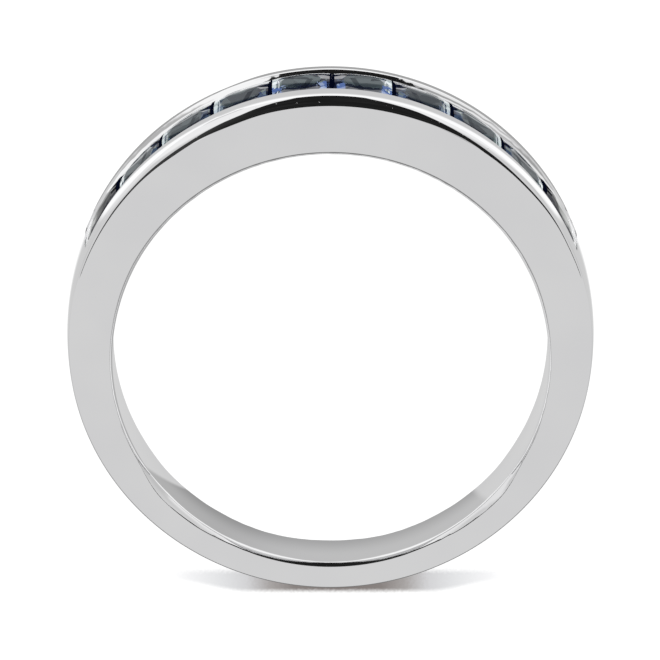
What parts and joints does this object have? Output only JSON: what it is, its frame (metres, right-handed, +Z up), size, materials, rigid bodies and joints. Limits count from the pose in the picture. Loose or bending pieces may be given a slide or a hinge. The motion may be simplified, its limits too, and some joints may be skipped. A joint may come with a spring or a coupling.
{
  "type": "half eternity ring",
  "caption": "Finger ring: a tapered polished metal band with a row of square blue stones held in a channel over its upper half.",
  "frame": {"origin": "middle of the bounding box's base, on the surface that the ring lies on", "axes": "+Z up from that surface; +Y from the bottom of the shank towards the middle of the stones; +X along the row of stones. The lower side face lies flat, so the finger hole's axis leans 2.3 degrees from +Z towards -Y"},
  "size_m": [0.021, 0.021, 0.0044],
  "materials": {
    "white_gold": "mirror polished white gold",
    "sapphire": "polished facets, dark slate blue"
  },
  "bodies": {
    "root": {"band": "white_gold", "stone_1": "sapphire", "stone_2": "sapphire", "stone_3": "sapphire", "stone_4": "sapphire", "stone_5": "sapphire", "stone_6": "sapphire", "stone_7": "sapphire", "stone_8": "sapphire", "stone_9": "sapphire", "stone_10": "sapphire"}
  },
  "joints": []
}
